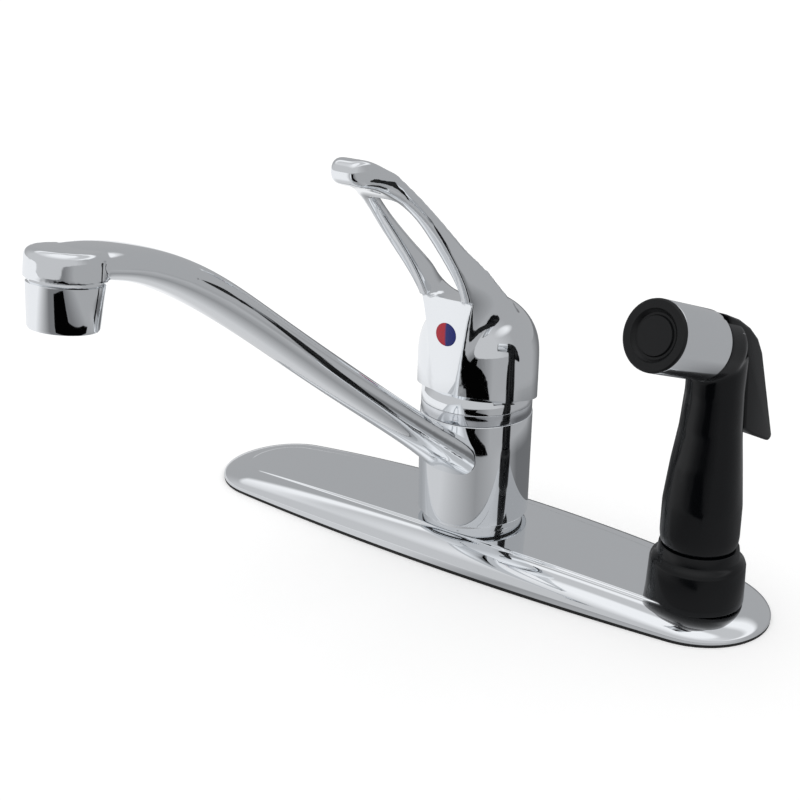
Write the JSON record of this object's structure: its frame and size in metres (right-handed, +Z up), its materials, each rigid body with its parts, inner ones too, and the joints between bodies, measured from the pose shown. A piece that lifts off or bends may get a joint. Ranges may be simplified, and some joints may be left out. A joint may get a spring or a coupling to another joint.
{
  "type": "side spray kitchen faucet",
  "caption": "Deck-mounted kitchen faucet on a long cover plate, with an open-loop lever on a domed handle, a slanted swivel spout and a black side spray in a holder.",
  "frame": {"origin": "the body's axis at the deck surface", "axes": "+X to the side spray, -Y to the front where the spout and lever point at rest, +Z up"},
  "size_m": [0.2634, 0.2554, 0.2851],
  "materials": {
    "chrome": "polished",
    "chromed_plastic": "polished",
    "black_plastic": "gloss",
    "black_rubber": "matte",
    "grey_nylon": "matte",
    "dark_nylon": "matte",
    "white_plastic": "matte",
    "brass": "satin",
    "copper": "satin",
    "steel": "satin",
    "ceramic": "glazed",
    "index_button": "gloss"
  },
  "bodies": {
    "base": {"deck_plate": "chrome", "deck_gasket": "black_rubber", "base_ring": "chrome", "lower_glide_ring": "dark_nylon", "valve_body": "brass", "spout_o_rings": "black_rubber", "upper_glide_ring": "grey_nylon", "bonnet": "chrome", "cartridge_seals": "black_rubber", "cartridge_base": "grey_nylon", "fixed_disc": "ceramic", "cartridge_housing": "white_plastic", "cartridge_nut": "brass", "diverter_plug": "brass", "diverter_spring": "steel", "hot_tube": "copper", "cold_tube": "copper", "spray_outlet_tube": "copper", "spray_outlet_nipple": "brass", "mounting_studs": "steel", "mounting_pad": "black_rubber", "mounting_bracket": "steel", "mounting_nuts": "steel", "spray_holder": "black_plastic", "holder_washer": "black_rubber", "holder_nut": "dark_nylon"},
    "swivel_spout": {"spout": "chrome", "aerator_shell": "chrome", "aerator_washer": "black_rubber", "aerator_insert": "grey_nylon", "aerator_screen": "steel"},
    "mixer_turn": {"lever_carrier": "white_plastic", "carrier_pin": "steel"},
    "lever": {"cartridge_lever": "steel", "handle": "chrome", "handle_set_screw": "steel", "index_button": "index_button"},
    "mixing_disc": {"moving_disc": "ceramic", "disc_driver": "white_plastic"},
    "diverter": {"diverter_piston": "brass", "diverter_seal": "black_rubber"},
    "spray_tail": {"hose_coupling": "white_plastic", "coupling_clip": "steel", "coupling_washer": "black_rubber"},
    "side_spray": {"spray_wand": "black_plastic", "spray_band": "chromed_plastic", "spray_face": "black_plastic", "face_seal": "black_rubber", "trigger_pin": "steel"},
    "trigger": {"spray_trigger": "black_plastic"},
    "plunger": {"spray_plunger": "steel", "plunger_seal": "black_rubber", "plunger_spring": "steel"}
  },
  "joints": [
    {"name": "spout_swivel", "type": "hinge", "parent": "base", "child": "swivel_spout", "pos_m": [0, 0, 0.036], "axis": [0, 0, 1], "range_deg": [-100, 48]},
    {"name": "lever_turn", "type": "hinge", "parent": "base", "child": "mixer_turn", "pos_m": [0, 0, 0.057], "axis": [0, 0, 1], "range_deg": [-45, 45]},
    {"name": "lever_lift", "type": "hinge", "parent": "mixer_turn", "child": "lever", "pos_m": [0, 0, 0.057], "axis": [-1, 0, 0], "range_deg": [0, 20]},
    {"name": "disc_slide", "type": "slide", "parent": "mixer_turn", "child": "mixing_disc", "axis": [0, -1, 0], "range_m": [0, 0.0039]},
    {"name": "diverter_slide", "type": "slide", "parent": "base", "child": "diverter", "axis": [0, 0, -1], "range_m": [0, 0.002], "stiffness_N_per_m": 300, "springref_m": -0.001, "deforming": ["diverter_spring"]},
    {"name": "spray_lift", "type": "slide", "parent": "base", "child": "spray_tail", "axis": [0, 0, 1], "range_m": [0, 0.15]},
    {"name": "spray_turn", "type": "hinge", "parent": "spray_tail", "child": "side_spray", "pos_m": [0.1016, 0, 0.05], "axis": [0, 0, 1], "continuous": true},
    {"name": "trigger_press", "type": "hinge", "parent": "side_spray", "child": "trigger", "pos_m": [0.10142, -0.00088, 0.1129], "axis": [-0.9799, 0.1994, 0], "range_deg": [0, 7], "stiffness_Nm_per_rad": 0.6, "springref_deg": -8.59},
    {"name": "plunger_slide", "type": "slide", "parent": "side_spray", "child": "plunger", "axis": [-0.1994, -0.9799, 0], "range_m": [0, 0.0016]}
  ],
  "couplings": [
    {"joint": "disc_slide", "follows": "lever_lift", "m_per_rad": 0.011},
    {"joint": "plunger_slide", "follows": "trigger_press", "m_per_rad": 0.0128}
  ]
}
